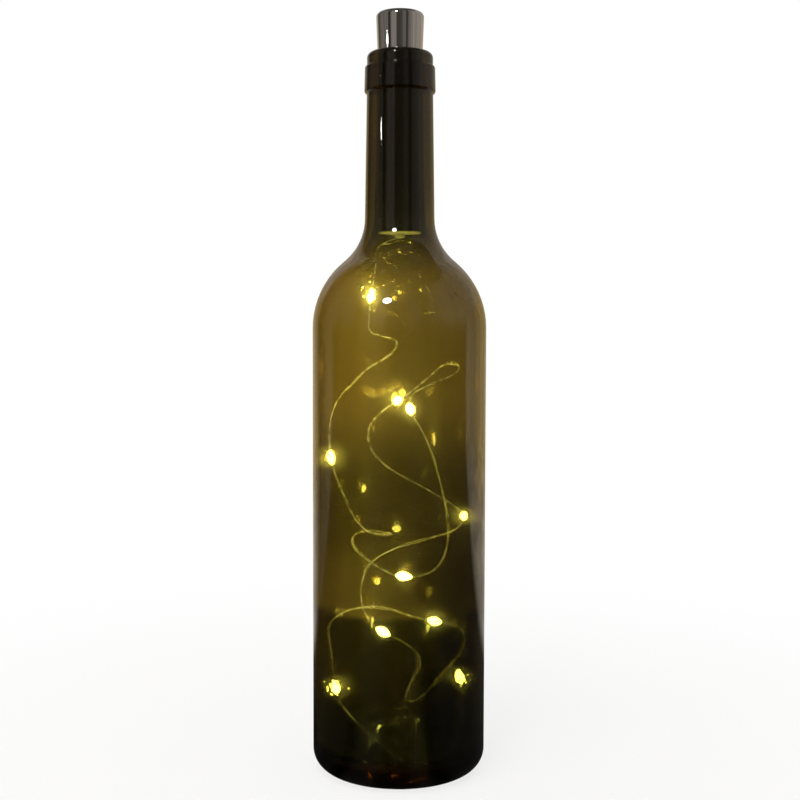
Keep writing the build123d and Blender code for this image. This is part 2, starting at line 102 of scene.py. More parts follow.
wave_stretch = 0.3
outer_wave_share = 0.12
wave_axis_reach = 4.0 * mm
wave_end_reach = 20.0 * mm
on_axis = 0.01 * mm

# Cap, as in the frame
cap_low, cap_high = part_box("cap")
cap_top_radius = cap_high.x
cap_top_round = 1.9 * mm
cap_foot_radius = 9.72 * mm
cap_bore_radius = 8.45 * mm
cap_roof = 1.6 * mm
cap_bore_round = 1.0 * mm
cap_foot_round = 0.25 * mm
cap_sides = 160

# String: two fine strands that turn about each other, with a drop of resin round each lamp. The
# strands stand apart only where they leave the bushing
drop_half_length = 3.2 * mm
drop_radius = 1.9 * mm
drop_neck_radius = 0.5 * mm
drop_gap = 0.15 * mm
string_diameter = 0.8 * mm
strand_radius = 0.145 * mm
strand_offset = 0.27 * mm
strand_spread = 0.9 * mm
strand_sides = 7
twist_length = 5.5 * mm
first_spread = 1.05 * mm
first_twist_length = 55.0 * mm
first_open_share = 0.6
first_open_until = 0.44
first_open_fade = 0.16
route_steps = 16
strand_slack_share = 0.6
strand_slack_length = 9.0 * mm
strand_loose_length = 14.0 * mm
strand_end_steps = 12
bead_rings = 18
bead_sides = 24
bead_fullness = 0.9
bead_unevenness = 0.09 * mm

# Places of the lamps and of the route's points between them, in the frame's millimetres
lamp_places = [
    (-12.5, -6, 209),
    (-30, -5, 138.5),
    (2, -26, 90.5),
    (4.5, -14, 160.5),
    (-1, -3, 163.5),
    (28.5, -2, 112.5),
    (-6.5, -23, 66),
    (15.5, -6, 66.5),
    (-27, -11, 38.5),
    (26, -10, 43),
]
string_ways = [
    [(-1.5, 0, 232.2), (-5.5, 0.5, 231.4), (-10.6, 0, 229.4), (-10.6, -2, 220)],
    [(-12.5, -7, 202), (-13.5, -8, 193), (-6.5, -8, 191.5), (0, -4, 189.5), (-4, 0, 182.5),
     (-17, -3.5, 175.5), (-22, -4, 169.5), (-27, -7.5, 162.5), (-30, -9, 155), (-30.5, -8.5, 147)],
    [(-27.5, -7, 130), (-23, -12, 122), (-19, -15.5, 113), (-13, -11.5, 106), (-0.5, -5, 104.5),
     (-12, -2, 106.5), (-20.5, -4, 105), (-20.5, -9, 100.5), (-14, -17, 96.5), (-6, -23.5, 92)],
    [(10, -26, 90.5), (17, -21, 93.5), (20.5, -14.5, 100.5), (21.5, -8, 109.5), (20.5, -1.5, 120),
     (18, 3, 132), (13, 0, 144), (8, -8.5, 153.5)],
    [(4.5, -19.5, 167), (11.5, -24, 171), (21, -18.5, 174), (26.5, -6, 178), (23.5, 8.5, 180.5),
     (14.5, 17, 174.5), (6, 9, 167)],
    [(-7.5, -13.5, 159.5), (-13, -21.5, 153.5), (-12.5, -26.5, 145), (-6, -28.5, 137.5), (3.5, -28, 132),
     (13.5, -23, 126), (23, -13.5, 119)],
    [(28, 9.5, 105.5), (18, 17, 100), (6.5, 19, 97), (-4.5, 16, 94), (-12.5, 8, 90.5),
     (-16.5, -3, 84.5), (-16.5, -13, 76.5), (-12.5, -19, 70)],
    [(0.5, -25.5, 63.5), (7, -24, 58), (9, -18.5, 50.5), (6, -14, 43), (3, -18, 36.5), (6, -26, 36),
     (11.5, -29.5, 42), (18, -26, 48.5), (24.5, -19, 54), (29, -10.5, 59), (27.5, -3, 64)],
    [(6.5, -3.5, 67.5), (-3, 0, 70.5), (-13, 1, 71.5), (-23, -3, 71), (-31, -7, 66.5),
     (-33, 0, 59), (-31.5, 3, 50), (-28.5, -4.5, 43.5)],
    [(-24.5, -17, 33.5), (-19, -23, 28), (-11, -27, 22), (-2, -28.5, 14), (7, -28, 9.5),
     (16, -25, 9.5), (23, -19, 15), (27.5, -12, 24), (28, -8, 34)],
]
lamp_bodies = ["lamp_1", "lamp_2"] + ["lower_string"] * 8

# Glass colour: what a metre takes away of red, green and blue. Painted shade in the glass's colour, for the
# room that
# stood behind the bottle: a dark foot and base, a shade that comes down its right half, a darker neck, and
# slight upright streaks
glass_loss_per_metre = (187.0, 254.0, 590.0)
side_shade_tint = (0.68, 0.68, 0.68, 1)
side_shade_left = -0.020
side_shade_right = 0.012
shade_tint = (0.505, 0.525, 0.495, 1)
shade_dark_top = 0.126
shade_clear_from = 0.166
shade_relief_share = 0.35
shade_relief_full = 0.084
shade_relief_from = 0.110
low_shade_tint = (0.55, 0.55, 0.53, 1)
low_shade_dark_top = 0.088
low_shade_clear_from = 0.140
low_shade_left = 0.002
low_shade_right = 0.028
foot_shade_tint = (0.37, 0.395, 0.386, 1)
foot_shade_dark_top = 0.0725
foot_shade_clear_from = 0.0755
foot_shade_fall_behind = 0.48
base_shade_tint = (0.38, 0.45, 0.56, 1)
base_shade_dark_top = 0.024
base_shade_clear_from = 0.046
neck_shade_tint = (0.33, 0.385, 0.42, 1)
neck_shade_clear_to = 0.214
neck_shade_dark_from = 0.238
shade_streak_range = (0.84, 1.0)
# Small drops raised on the glass, over its base and over the part of its shoulder that the lamps light
drop_spots_per_metre = 430.0
drop_spot_edge = 0.40
drop_spots_kept_from = 0.35
ripple_height = 0.19 * mm
ripple_base_foot = 0.036
ripple_base_top = 0.062
ripple_shoulder_foot = 0.192
ripple_shoulder_top = 0.206
ripple_shoulder_full_to = 0.219
ripple_shoulder_none_from = 0.229
ripple_front_none = -0.0335
ripple_front_full = -0.0290
ripple_left_none = -0.022
ripple_left_full = -0.015
# Slow swell of the glass, wander of the painted shade's edges and size of its painted upright streaks, the
# glass's gloss, and the haze and the outer polish on it
slow_swell_height = 0.02 * mm
slow_swell_scale = 45.0
slow_swell_stretch = (1, 1, 0.35)
shade_wander = 8.0 * mm
shade_wander_scale = 28.0
shade_streak_scale = 70.0
shade_streak_stretch = (1, 1, 0.05)
gloss_scale = 60.0
glass_ior = 1.5
absorption_margin = 1.06
clear_roughness = (0.005, 0.025)
haze_roughness = 0.25
haze_share = 0.05
polish_ior = 1.9
polish_roughness = 0.015
neck_polish_share = 0.4
neck_polish_from = 0.180
neck_polish_full = 0.215

# End cap: its face is light, and painted shade makes its rim as dark as the tube that it closes
rim_unshaded_to = 0.2359
rim_shaded_from = 0.2363
rim_shaded_to = 0.245
rim_unshaded_above = 0.250
rim_shade_tint = (0.14, 0.14, 0.14, 1)

# Lamp light
lamp_color = (0.97, 0.98, 0.38, 1)
lamp_strength = 1000.0

# Studio
camera_place = (0.0003, -0.540, 0.195)
camera_pitch = 86.65
camera_roll = 0.13
camera_lens = 55.27
sensor_width = 36.0
world_level = 0.6
floor_radius = 4.0
floor_plain_radius = 0.45
floor_shade_share = 0.22
screen_radius = 1.6
screen_top = 2.2
apron_height = 0.4 * mm
apron_inner_radius = body_radius - 5.5 * mm
screen_dark_to = 0.06
screen_light_from = 0.56
screen_back_from = 0.14
screen_back_full = 0.24
screen_front_color = (1, 0.92, 0.82, 1)
screen_back_color = (1, 0.79, 0.40, 1)
screen_warm_full = 1.2
screen_warm_up_to = 0.45
screen_plain_from = 0.80
screen_least_share = 0.08
screen_sides = 64
panel_grain_scale = 5.0
panel_grain_stretch = (1, 1, 0.06)
grain_range = (0.7, 1.3)
ceiling_level = 0.06
ceiling_grain_scale = 1.5
floor_sides = 96
floor_color = (0.85, 0.85, 0.85, 1)
floor_roughness = 0.9
world_color = (1, 0.985, 0.96, 1)
lamp_tint = (1, 0.97, 0.92)
# Name, place, point that it looks at, width, height, power, whether reflections show it, spread in degrees
studio_lights = [
    ("top_light", (-0.35, -0.55, 1.15), (0, 0, 0.15), 0.7, 0.7, 5.0, False, 180),
    ("strip_light", (-0.98, -0.44, 0.475), (0, 0, 0.30), 0.035, 0.03, 0.0003, True, 8),
    ("bulb_light", (-0.304, -0.935, 0.888), (0, 0, 0.20), 0.22, 0.15, 2.5, True, 180),
]
# Brightness of the screen by the direction it stands in, in degrees to the right of the camera
screen_panels = [
    (-178, 0.42), (-146, 0.42), (-128, 0.04), (-104, 0.15), (-96, 0.16), (-62, 0.13),
    (-58, 0.03), (-50, 0.03), (-42, 0.19), (-22, 0.19), (-14, 0.05), (8, 0.05),
    (16, 0.15), (24, 0.15), (30, 0.05), (38, 0.05), (48, 0.17), (90, 0.25),
    (130, 0.31), (165, 0.36),
]


# Shapes of revolution
def rounded_profile(corners):
    """Points along an outline from (radius, height, rounding) corners, with each rounding as an arc."""
    points = []
    for index, (radius, height, rounding) in enumerate(corners):
        here = Vector((radius, height))
        to_before = (Vector(corners[index - 1][:2]) - here).normalized()
        to_after = (Vector(corners[(index + 1) % len(corners)][:2]) - here).normalized()
        if rounding == 0:
            points.append(here)
            continue
        half_angle = to_before.angle(to_after) / 2
        centre = here + (to_before + to_after).normalized() * rounding / math.sin(half_angle)
        reach = rounding / math.tan(half_angle)
        start = here + to_before * reach - centre
        end = here + to_after * reach - centre
        turn = math.copysign(math.pi - 2 * half_angle, start.cross(end))
        steps = max(3, math.ceil(abs(turn) / arc_step))
        for step in range(steps + 1):
            angle = turn * step / steps
            points.append(centre + Matrix.Rotation(angle, 2) @ start)
    return points


def lathe(name, outline, sides, shift=None):
    """Closed shell turned about Z from an outline that starts and ends on the axis."""
    vertices = []
    faces = []
    rings = []
    for place in outline:
        if place.x < on_axis:
            rings.append([len(vertices)])
            vertices.append((0, 0, place.y))
            continue
        ring = []
        for side in range(sides):
            angle = 2 * math.pi * side / sides
            radial = Vector((math.cos(angle), math.sin(angle), 0))
            spot = radial * place.x + Vector((0, 0, place.y))
            if shift:
                spot = shift(spot, radial, len(rings))
            ring.append(len(vertices))
            vertices.append(spot)
        rings.append(ring)
    for here, after in zip(rings, rings[1:]):
        for side in range(sides):
            following = (side + 1) % sides
            corners = [here[side % len(here)], here[following % len(here)],
                       after[following % len(after)], after[side % len(after)]]
            corners = list(dict.fromkeys(corners))
            if len(corners) > 2:
                faces.append(corners)
    return shell(name, vertices, faces)


def shell(name, vertices, faces, crease=35):
    """Mesh object with smooth faces, sharp only past an angle."""
    mesh = bpy.data.meshes.new(name)
    mesh.from_pydata(vertices, [], faces)
    mesh.validate()
    mesh.shade_smooth()
    mesh.set_sharp_from_angle(angle=math.radians(crease))
    piece = bpy.data.objects.new(name, mesh)
    bpy.context.scene.collection.objects.link(piece)
    return piece


# Materials
def new_material(name):
    made = bpy.data.materials.new(name)
    made.use_nodes = True
    return made, made.node_tree, made.node_tree.nodes["Principled BSDF"]


def noise_node(tree, scale, detail=3.0, stretch=(1, 1, 1)):
    """Noise in the object's own metres, drawn out where the stretch is small."""
    place = tree.nodes.new("ShaderNodeTexCoord")
    mapping = tree.nodes.new("ShaderNodeMapping")
    mapping.inputs["Scale"].default_value = stretch
    texture = tree.nodes.new("ShaderNodeTexNoise")
    texture.inputs["Scale"].default_value = scale
    texture.inputs["Detail"].default_value = detail
    tree.links.new(place.outputs["Object"], mapping.inputs["Vector"])
    tree.links.new(mapping.outputs["Vector"], texture.inputs["Vector"])
    return texture.outputs["Fac"]


def spread_values(tree, factor, low, high, start=0.3, end=0.7):
    """A factor between two ends, by default about one half, widened to a range of values."""
    ranged = tree.nodes.new("ShaderNodeMapRange")
    ranged.inputs["From Min"].default_value = start
    ranged.inputs["From Max"].default_value = end
    ranged.inputs["To Min"].default_value = low
    ranged.inputs["To Max"].default_value = high
    tree.links.new(factor, ranged.inputs["Value"])
    return ranged.outputs["Result"]


def mixed_color(tree, factor, first, second):
    mix = tree.nodes.new("ShaderNodeMix")
    mix.data_type = "RGBA"
    mix.inputs["A"].default_value = first
    mix.inputs["B"].default_value = second
    tree.links.new(factor, mix.inputs["Factor"])
    return mix.outputs["Result"]


def add_bump(tree, shader, height, strength, distance):
    bump = tree.nodes.new("ShaderNodeBump")
    bump.inputs["Strength"].default_value = strength
    bump.inputs["Distance"].default_value = distance
    tree.links.new(height, bump.inputs["Height"])
    tree.links.new(bump.outputs["Normal"], shader.inputs["Normal"])


def surface(name, color, roughness, metallic=0.0, grain=400.0, stretch=(1, 1, 1), tone=0.12,
            bump_strength=0.15, bump_distance=0.05 * mm, patch_range=(0.3, 0.7)):
    """Opaque finish with its own slight grain in colour, gloss and height. A large tone, as on the wire,
    paints glints and shade into the colour as light and dark patches.
    """
    made, tree, shader = new_material(name)
    fine = noise_node(tree, grain, 4.0, stretch)
    broad = noise_node(tree, grain / 8, 2.0, stretch)
    darker = tuple(part * (1 - tone) for part in color) + (1,)
    lighter = tuple(min(1, part * (1 + tone)) for part in color) + (1,)
    tree.links.new(mixed_color(tree, spread_values(tree, broad, 0, 1, *patch_range), darker, lighter),
                   shader.inputs["Base Color"])
    tree.links.new(spread_values(tree, fine, roughness * 0.75, roughness * 1.25), shader.inputs["Roughness"])
    shader.inputs["Metallic"].default_value = metallic
    add_bump(tree, shader, fine, bump_strength, bump_distance)
    return made


def smooth_share(tree, value, low, high):
    """Zero below one value, one above another, smooth between."""
    rise = tree.nodes.new("ShaderNodeMapRange")
    rise.interpolation_type = "SMOOTHSTEP"
    rise.inputs["From Min"].default_value = low
    rise.inputs["From Max"].default_value = high
    tree.links.new(value, rise.inputs["Value"])
    return rise.outputs["Result"]


def combined(tree, operation, first, second):
    """Sum, product or the like of two outputs, or of an output and a number."""
    node = tree.nodes.new("ShaderNodeMath")
    node.operation = operation
    for socket, value in zip(node.inputs, (first, second)):
        if isinstance(value, (int, float)):
            socket.default_value = value
        else:
            tree.links.new(value, socket)
    return node.outputs[0]


def tinted(tree, color, tint, share):
    """Colour multiplied by a tint, as far as the share says."""
    mix = tree.nodes.new("ShaderNodeMix")
    mix.data_type = "RGBA"
    mix.blend_type = "MULTIPLY"
    mix.inputs["B"].default_value = tint
    tree.links.new(color, mix.inputs["A"])
    tree.links.new(share, mix.inputs["Factor"])
    return mix.outputs["Result"]


def glass_finish():
    """Dark olive glass: the wall's thickness sets its depth of colour. Painted shade darkens its right half,
    lower body, foot, base and neck, with slight upright streaks of painted shade.
    """
    made, tree, shader = new_material("dark_olive_glass")
    place = tree.nodes.new("ShaderNodeTexCoord")
    parts = tree.nodes.new("ShaderNodeSeparateXYZ")
    tree.links.new(place.outputs["Object"], parts.inputs["Vector"])
    height = parts.outputs["Z"]
    across = parts.outputs["X"]
    # Masks of the painted shade: its edges wander slowly, it is lighter low down on the left and middle, and
    # the foot's edge falls lower behind
    slow = noise_node(tree, shade_wander_scale, 2.0)
    uneven = combined(tree, "ADD", height, combined(tree, "MULTIPLY", slow, shade_wander))
    uneven = combined(tree, "SUBTRACT", uneven, shade_wander / 2)
    to_right = smooth_share(tree, across, low_shade_left, low_shade_right)
    shade_relief = smooth_share(tree, uneven, shade_relief_from, shade_relief_full)
    shade_relief = combined(tree, "MULTIPLY", shade_relief, combined(tree, "SUBTRACT", shade_relief_share, to_right))
    kept = combined(tree, "SUBTRACT", 1.0, combined(tree, "MAXIMUM", shade_relief, 0.0))
    shade = combined(tree, "MULTIPLY", smooth_share(tree, uneven, shade_clear_from, shade_dark_top), kept)
    low_shade = smooth_share(tree, uneven, low_shade_clear_from, low_shade_dark_top)
    low_shade = combined(tree, "MULTIPLY", low_shade, to_right)
    # Painted shade in slight upright streaks, then the painted shade of the right half, lower body, foot,
    # base and neck
    level = spread_values(tree, noise_node(tree, shade_streak_scale, 3.0, shade_streak_stretch), *shade_streak_range)
    shade_streaks = tree.nodes.new("ShaderNodeCombineColor")
    for channel in shade_streaks.inputs:
        tree.links.new(level, channel)
    tint = shade_streaks.outputs["Color"]
    tint = tinted(tree, tint, side_shade_tint, smooth_share(tree, across, side_shade_left, side_shade_right))
    tint = tinted(tree, tint, shade_tint, shade)
    tint = tinted(tree, tint, low_shade_tint, low_shade)
    behind = combined(tree, "MAXIMUM", parts.outputs["Y"], 0.0)
    leaned = combined(tree, "ADD", uneven, combined(tree, "MULTIPLY", behind, foot_shade_fall_behind))
    tint = tinted(tree, tint, foot_shade_tint, smooth_share(tree, leaned, foot_shade_clear_from, foot_shade_dark_top))
    tint = tinted(tree, tint, base_shade_tint, smooth_share(tree, uneven, base_shade_clear_from, base_shade_dark_top))
    tint = tinted(tree, tint, neck_shade_tint, smooth_share(tree, height, neck_shade_clear_to, neck_shade_dark_from))
    tree.links.new(tint, shader.inputs["Base Color"])
    gloss = spread_values(tree, noise_node(tree, gloss_scale, 5.0), *clear_roughness)
    tree.links.new(gloss, shader.inputs["Roughness"])
    shader.inputs["IOR"].default_value = glass_ior
    shader.inputs["Transmission Weight"].default_value = 1.0
    polish = spread_values(tree, height, 1, neck_polish_share, neck_polish_from, neck_polish_full)
    tree.links.new(polish, shader.inputs["Coat Weight"])
    shader.inputs["Coat IOR"].default_value = polish_ior
    shader.inputs["Coat Roughness"].default_value = polish_roughness
    drops = tree.nodes.new("ShaderNodeTexVoronoi")
    drops.inputs["Scale"].default_value = drop_spots_per_metre
    tree.links.new(place.outputs["Object"], drops.inputs["Vector"])
    ripples = smooth_share(tree, drops.outputs["Distance"], drop_spot_edge, 0)
    chances = tree.nodes.new("ShaderNodeSeparateColor")
    tree.links.new(drops.outputs["Color"], chances.inputs["Color"])
    ripples = combined(tree, "MULTIPLY", ripples, combined(tree, "GREATER_THAN", chances.outputs[0],
                                                           drop_spots_kept_from))
    on_base = smooth_share(tree, height, ripple_base_top, ripple_base_foot)
    on_shoulder = smooth_share(tree, height, ripple_shoulder_foot, ripple_shoulder_top)
    behind_front = smooth_share(tree, parts.outputs["Y"], ripple_front_none, ripple_front_full)
    right_of_edge = smooth_share(tree, across, ripple_left_none, ripple_left_full)
    under_neck = smooth_share(tree, height, ripple_shoulder_none_from, ripple_shoulder_full_to)
    rippled = combined(tree, "MULTIPLY", on_shoulder, behind_front)
    rippled = combined(tree, "MULTIPLY", rippled, right_of_edge)
    rippled = combined(tree, "MULTIPLY", rippled, under_neck)
    rippled = combined(tree, "ADD", on_base, rippled)
    swell = combined(tree, "MULTIPLY", ripples, combined(tree, "MULTIPLY", rippled, ripple_height))
    slow_swell = noise_node(tree, slow_swell_scale, 2.0, slow_swell_stretch)
    slow_swell = combined(tree, "MULTIPLY", slow_swell, slow_swell_height)
    add_bump(tree, shader, combined(tree, "ADD", swell, slow_swell), 1.0, 1.0)
    density = max(glass_loss_per_metre) * absorption_margin
    kept_light = tuple(1 - loss / density for loss in glass_loss_per_metre)
    absorption = tree.nodes.new("ShaderNodeVolumeAbsorption")
    absorption.inputs["Color"].default_value = kept_light + (1,)
    absorption.inputs["Density"].default_value = density
    output = tree.nodes["Material Output"]
    tree.links.new(absorption.outputs["Volume"], output.inputs["Volume"])
    hazy = tree.nodes.new("ShaderNodeBsdfPrincipled")
    hazy.inputs["Roughness"].default_value = haze_roughness
    hazy.inputs["IOR"].default_value = glass_ior
    hazy.inputs["Transmission Weight"].default_value = 1.0
    tree.links.new(tint, hazy.inputs["Base Color"])
    mix = tree.nodes.new("ShaderNodeMixShader")
    mix.inputs["Fac"].default_value = haze_share
    tree.links.new(shader.outputs["BSDF"], mix.inputs[1])
    tree.links.new(hazy.outputs["BSDF"], mix.inputs[2])
    tree.links.new(mix.outputs["Shader"], output.inputs["Surface"])
    return made


def lamp_finish():
    """Clear resin, filled with the light of the chip in it."""
    made, tree, shader = new_material("lit_resin")
    shader.inputs["Base Color"].default_value = (1, 0.9, 0.6, 1)
    tree.links.new(spread_values(tree, noise_node(tree, 900.0), 0.1, 0.3), shader.inputs["Roughness"])
    shader.inputs["Emission Color"].default_value = lamp_color
    shader.inputs["Emission Strength"].default_value = lamp_strength
    return made


def grey_finish():
    """Grey plastic; painted shade makes the end cap's rim as dark as the tube that it closes."""
    made = surface("grey_plastic", (0.42, 0.41, 0.38), 0.4)
    tree = made.node_tree
    place = tree.nodes.new("ShaderNodeTexCoord")
    parts = tree.nodes.new("ShaderNodeSeparateXYZ")
    tree.links.new(place.outputs["Object"], parts.inputs["Vector"])
    base = tree.nodes["Principled BSDF"].inputs["Base Color"]
    above_face = smooth_share(tree, parts.outputs["Z"], rim_unshaded_to, rim_shaded_from)
    below_top = smooth_share(tree, parts.outputs["Z"], rim_unshaded_above, rim_shaded_to)
    share = combined(tree, "MULTIPLY", above_face, below_top)
    tree.links.new(tinted(tree, base.links[0].from_socket, rim_shade_tint, share), base)
    return made


def finishes():
    """One finish for each material slot of the record."""
    return {
        "bottle_glass": glass_finish(),
        "chrome": surface("plated_metal", (0.90, 0.88, 0.86), 0.07, 1.0, 260.0, (1, 1, 0.12), 0.05, 0.04),
        "collar_plastic": surface("black_plastic", (0.03, 0.03, 0.03), 0.35),
        "tube_plastic": surface("tube_plastic", (0.10, 0.097, 0.093), 0.30, 0.0, 500.0, tone=0.04,
                                bump_strength=0.05),
        "rubber": surface("rubber", (0.035, 0.035, 0.035), 0.7, 0.0, 900.0),
        "grey_plastic": grey_finish(),
        "foam": surface("foam", (0.08, 0.08, 0.09), 0.95, 0.0, 2200.0, bump_strength=0.6),
        "steel": surface("steel", (0.56, 0.56, 0.55), 0.28, 1.0, 700.0, tone=0.04, bump_strength=0.03),
        "sleeve_film": surface("sleeve_film", (0.05, 0.20, 0.42), 0.3),
        "washer_card": surface("washer_card", (0.6, 0.62, 0.55), 0.85, 0.0, 1500.0),
        "lead_red": surface("lead_red", (0.45, 0.03, 0.02), 0.45),
        "board": surface("board", (0.02, 0.16, 0.06), 0.4, 0.0, 1200.0),
        "chip_black": surface("chip_black", (0.02, 0.02, 0.022), 0.5, 0.0, 1500.0),
        "ceramic": surface("ceramic", (0.42, 0.30, 0.18), 0.5, 0.0, 1500.0),
        "gold": surface("gold", (0.83, 0.62, 0.28), 0.25, 1.0, 900.0),
        # The wire's strong light and dark patches along it are painted glints and painted shade
        "copper_wire": surface("copper_wire", (1.0, 0.95, 0.72), 0.3, 0.3, 3200.0, tone=0.85,
                               bump_strength=0.8, patch_range=(0.42, 0.56)),
        "resin": lamp_finish(),
        "lamp_light": surface("lamp_chip", (0.8, 0.65, 0.15), 0.5),
    }


def wear(piece, finish):
    """Gives a piece its finish in its first material slot."""
    if piece.material_slots:
        piece.material_slots[0].material = finish
    else:
        piece.data.materials.append(finish)


finish_of = finishes()
for part in frame["record"]["subparts"]:
    wear(frame["nodes"][part["node"]], finish_of[part["material_slot"]])


# Bottle
def bottle_outline():
    """Outside from the punt's tip to the lip, then inside back to the punt's tip."""
    half_slope = math.radians(shoulder_slope / 2)
    shoulder_corner = bottle_height - shoulder_drop + shoulder_radius * math.tan(half_slope)
    neck_corner = shoulder_corner + (body_radius - neck_low_radius) / math.tan(math.radians(shoulder_slope))
    inner_step = glass_wall * math.tan(half_slope)
    inner_radius = body_radius - glass_wall
    ring_top = bottle_height - lip_height
    ring_foot = ring_top - ring_height
    punt_slope = math.atan2(punt_height, bearing_ring_radius - punt_nose_radius)
    inner_nose_radius = punt_nose_radius + base_thickness * math.tan(punt_slope / 2)
    outside = [
        (0, punt_height, 0),
        (punt_nose_radius, punt_height, punt_nose_round),
        (bearing_ring_radius, 0, bearing_ring_round),
        (body_radius, 0, heel_radius),
        (body_radius, shoulder_corner, shoulder_radius),
        (neck_low_radius, neck_corner, neck_fillet_radius),
        (neck_top_radius, ring_foot, 0),
        (ring_low_radius, ring_foot, ring_low_round),
        (ring_top_radius, ring_top, ring_top_round),
        (lip_radius, ring_top, lip_foot_round),
        (lip_radius, bottle_height, lip_round),
    ]
    inside = [
        (mouth_radius, bottle_height, mouth_round),
        (bore_low_radius, bottle_height - bore_depth, 0),
        (neck_low_radius - glass_wall, neck_corner - inner_step, neck_fillet_radius + glass_wall),
        (inner_radius, shoulder_corner - inner_step, shoulder_radius - glass_wall),
        (inner_radius, floor_thickness, floor_inner_round),
        (floor_valley_radius, floor_thickness, floor_valley_round),
        (inner_nose_radius, punt_height + base_thickness, punt_nose_round),
        (0, punt_height + base_thickness, 0),
    ]
    return rounded_profile(outside + inside)


def bottle_glass():
    """Blown glass: the outside keeps the mould's shape and the inside has slow waves."""
    outline = bottle_outline()
    top = max(outline, key=lambda place: place.y)
    divided = []
    for here, after in zip(outline, outline[1:]):
        count = max(1, math.ceil((after - here).length / glass_step))
        divided += [here.lerp(after, step / count) for step in range(count)]
    divided.append(outline[-1])
    turn_index = next(index for index, place in enumerate(divided) if (place - top).length < on_axis)
    waves_end = bottle_height - bore_depth

    def waved(spot, radial, ring_index):
        inner = ring_index > turn_index
        axis_share = min(1, math.hypot(spot.x, spot.y) / wave_axis_reach)
        top_share = max(0, min(1, (waves_end - spot.z) / wave_end_reach))
        base_share = max(0, 1 - spot.z / wave_base_height)
        depth = wave_depth + (wave_depth_base - wave_depth) * base_share
        wave = noise.noise(Vector((spot.x, spot.y, spot.z * wave_stretch)) / wave_length)
        if inner:
            return spot - radial * depth * axis_share * top_share * wave
        return spot - radial * depth * outer_wave_share * axis_share * abs(wave)

    return lathe("bottle_glass", divided, bottle_sides, waved)


glass = bottle_glass()
wear(glass, finish_of["bottle_glass"])
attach(glass, "bottle")
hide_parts("bottle")


# Cap
def cap_shell():
    foot = cap_low.z
    top = cap_high.z
    corners = [
        (0, top, 0),
        (cap_top_radius, top, cap_top_round),
        (cap_foot_radius, foot, cap_foot_round),
        (cap_bore_radius, foot, cap_foot_round),
        (cap_bore_radius, top - cap_roof, cap_bore_round),
        (0, top - cap_roof, 0),
    ]
    outline = rounded_profile(corners)
    outline.reverse()
    return lathe("cap_shell", outline, cap_sides)


cap = cap_shell()
wear(cap, finish_of["chrome"])
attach(cap, "cap")
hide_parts("cap")


# String of lamps
def place_of(point):
    return Vector(point) * mm


def lamp_axis(index):
    """Direction of the wire through a lamp drop, from the route's points on both sides."""
    before = place_of(string_ways[index][-1])
    if index + 1 < len(string_ways):
        after = place_of(string_ways[index + 1][0])
    else:
        after = place_of(lamp_places[index]) * 2 - before
    return (after - before).normalized()


def stretch_points(index):
    """Points of one stretch of wire, from the drop or the bushing above it to its own drop."""
    reach = drop_half_length + drop_gap
    if index == 0:
        bushing_low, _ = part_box("wire_bushing")
        start = Vector((0, 0, bushing_low.z + string_diameter / 2))
    else:
        start = place_of(lamp_places[index - 1]) + lamp_axis(index - 1) * reach
    end = place_of(lamp_places[index]) - lamp_axis(index) * reach
    return [start] + [place_of(point) for point in string_ways[index]] + [end]


def line_through(points):
    """Points along the smooth curve that these control points draw."""
    curve = bpy.data.curves.new("route", "CURVE")
    curve.dimensions = "3D"
    curve.resolution_u = route_steps
    spline = curve.splines.new("NURBS")
    spline.points.add(len(points) - 1)
    for control, place in zip(spline.points, points):
        control.co = (*place, 1)
    spline.order_u = 3
    spline.use_endpoint_u = True
    carrier = bpy.data.objects.new("route", curve)
    mesh = bpy.data.meshes.new_from_object(carrier)
    line = [vertex.co.copy() for vertex in mesh.vertices]
    bpy.data.objects.remove(carrier)
    bpy.data.curves.remove(curve)
    bpy.data.meshes.remove(mesh)
    return line


def carried_frames(line):
    """Two directions square to the line at each of its points, carried along without twist."""
    frames = []
    side = None
    for index, here in enumerate(line):
        before = line[max(0, index - 1)]
        after = line[min(len(line) - 1, index + 1)]
        along = (after - before).normalized()
        if side is None:
            side = along.orthogonal().normalized()
        side = (side - along * side.dot(along)).normalized()
        frames.append((side, along.cross(side)))
    return frames


def string_strands(index, line):
    """Two strands that turn about the line, close at its ends and looser between."""
    frames = carried_frames(line)
    wander = random.Random(40 + index)
    twist, spread = twist_length, strand_spread
    phase = wander.uniform(0, math.pi)
    if index == 0:
        twist, spread = first_twist_length, first_spread
        phase += math.pi / 2
    shift = wander.uniform(0, 50)
    vertices = []
    faces = []
    for strand in range(2):
        run = 0.0
        turn = phase + strand * math.pi
        base = len(vertices)
        for step, here in enumerate(line):
            if step:
                span = (here - line[step - 1]).length
                run += span
                slack = noise.noise(Vector((run / strand_slack_length, shift, 1)))
                turn += 2 * math.pi * span / twist * (1 + strand_slack_share * slack)
            side, up = frames[step]
            end_share = min(1, step / strand_end_steps, (len(line) - 1 - step) / strand_end_steps)
            loose = max(0, noise.noise(Vector((run / strand_loose_length, shift, 7))))
            if index == 0:
                open_left = (first_open_until - step / (len(line) - 1)) / first_open_fade
                loose = first_open_share * min(1, max(0, open_left))
            offset = strand_offset + loose * spread * end_share
            centre = here + (side * math.cos(turn) + up * math.sin(turn)) * offset
            for corner in range(strand_sides):
                angle = 2 * math.pi * corner / strand_sides
                vertices.append(centre + (side * math.cos(angle) + up * math.sin(angle)) * strand_radius)
        for step in range(len(line) - 1):
            low = base + step * strand_sides
            for corner in range(strand_sides):
                following = (corner + 1) % strand_sides
                faces.append([low + corner, low + following,
                              low + strand_sides + following, low + strand_sides + corner])
        last = base + (len(line) - 1) * strand_sides
        faces.append([base + corner for corner in reversed(range(strand_sides))])
        faces.append([last + corner for corner in range(strand_sides)])
    return shell(f"string_strands_{index + 1}", vertices, faces, 80)


